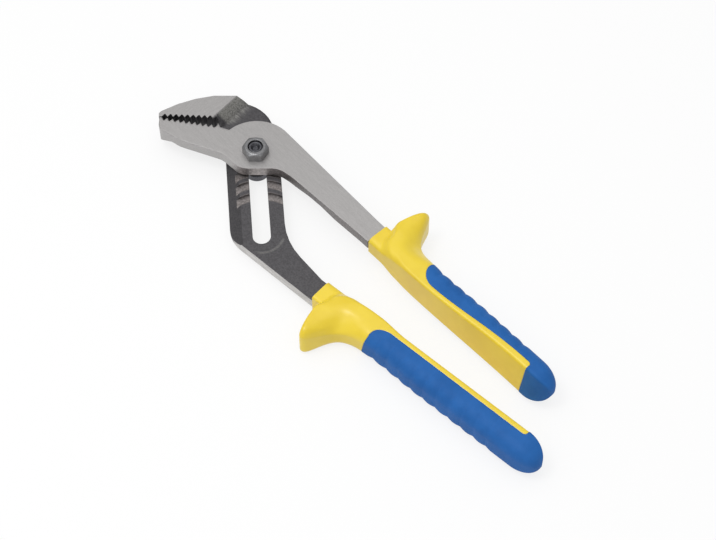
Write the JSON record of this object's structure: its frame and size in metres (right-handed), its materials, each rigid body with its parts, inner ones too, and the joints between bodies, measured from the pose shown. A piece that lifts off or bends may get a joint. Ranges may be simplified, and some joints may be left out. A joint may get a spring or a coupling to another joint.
{
  "type": "water pump pliers",
  "caption": "Slip-joint water pump pliers with toothed angled jaws, a slotted arm with locking grooves, a pivot bolt and nut, and two-part moulded handle grips with thumb guards.",
  "frame": {"origin": "on the pivot axis at the flat back of the bolt head, in the plane that the pliers lie on", "axes": "+Z along the pivot axis towards the nut; the slot of the rear arm runs along -Y from the pivot; the jaws point to -X and the handles run to +X and -Y"},
  "size_m": [0.1641, 0.2039, 0.0204],
  "materials": {
    "ground_steel": "satin ground",
    "black_steel": "dark forged oxide",
    "bolt_steel": "dark oiled",
    "nut_steel": "bright plated",
    "yellow_plastic": "semi-gloss moulded",
    "blue_rubber": "satin moulded"
  },
  "bodies": {
    "pivot_bolt": {"pivot_bolt": "bolt_steel"},
    "front_arm": {"front_arm": "ground_steel", "front_grip_core": "yellow_plastic", "front_grip_cover": "blue_rubber"},
    "pivot_nut": {"pivot_nut": "nut_steel"},
    "rear_arm": {"rear_arm": "black_steel", "rear_grip_core": "yellow_plastic", "rear_grip_cover": "blue_rubber"}
  },
  "joints": [
    {"name": "jaw_hinge", "type": "hinge", "parent": "pivot_bolt", "child": "front_arm", "pos_m": [0, 0, 0], "axis": [0, 0, 1], "range_deg": [0, 60]},
    {"name": "setting_turn", "type": "hinge", "parent": "pivot_bolt", "child": "pivot_nut", "pos_m": [0, 0, 0], "axis": [0, 0, -1], "range_deg": [0, 8]},
    {"name": "slot_slide", "type": "slide", "parent": "pivot_nut", "child": "rear_arm", "axis": [0, 1, 0], "range_m": [0, 0.042]}
  ],
  "couplings": [
    {"joint": "setting_turn", "follows": "slot_slide", "rad_per_m": 3.2}
  ]
}
